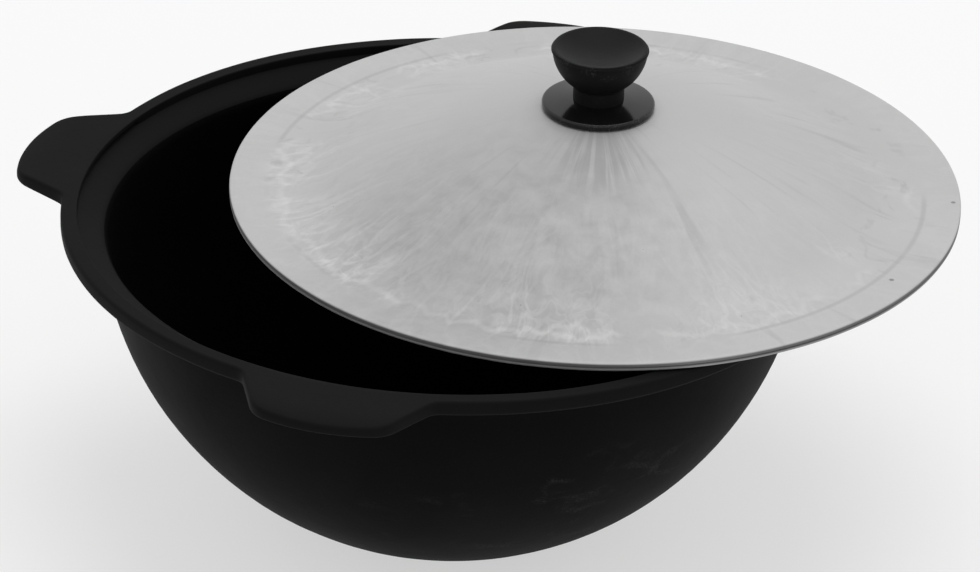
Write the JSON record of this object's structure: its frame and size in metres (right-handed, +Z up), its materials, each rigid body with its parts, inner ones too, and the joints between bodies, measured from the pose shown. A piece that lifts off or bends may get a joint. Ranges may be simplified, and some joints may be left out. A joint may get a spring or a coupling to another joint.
{
  "type": "kazan with lid",
  "caption": "Round-bottomed cast-iron cooking cauldron with ears on its flanged rim and a domed aluminium lid with a black knob, slid aside.",
  "frame": {"origin": "centre of the flat foot that the bowl stands on", "axes": "+Z up through the bowl's axis, +X and +Y through two of the four ears"},
  "size_m": [0.4815, 0.462, 0.2562],
  "materials": {
    "cast_iron": "as cast, seasoned black",
    "lid_aluminium": "matte, mottled",
    "grip_bakelite": "black bakelite, satin",
    "skirt_bakelite": "black bakelite, glossy",
    "insert_brass": "turned",
    "screw_steel": "zinc plated",
    "spring_washer_steel": "spring steel",
    "plain_washer_steel": "zinc plated"
  },
  "bodies": {
    "bowl": {"cast_bowl": "cast_iron"},
    "lid": {"lid_shell": "lid_aluminium", "fixing_screw": "screw_steel", "spring_washer": "spring_washer_steel", "plain_washer": "plain_washer_steel"},
    "knob": {"knob_grip": "grip_bakelite", "knob_skirt": "skirt_bakelite", "threaded_insert": "insert_brass"}
  },
  "joints": [
    {"name": "lid_lift", "type": "slide", "parent": "bowl", "child": "lid", "axis": [0, 0, 1], "range_m": [0, 0.12]},
    {"name": "knob_turn", "type": "hinge", "parent": "lid", "child": "knob", "pos_m": [0.06347, 0.0392, 0.2227], "axis": [0, 0, 1], "continuous": true}
  ]
}
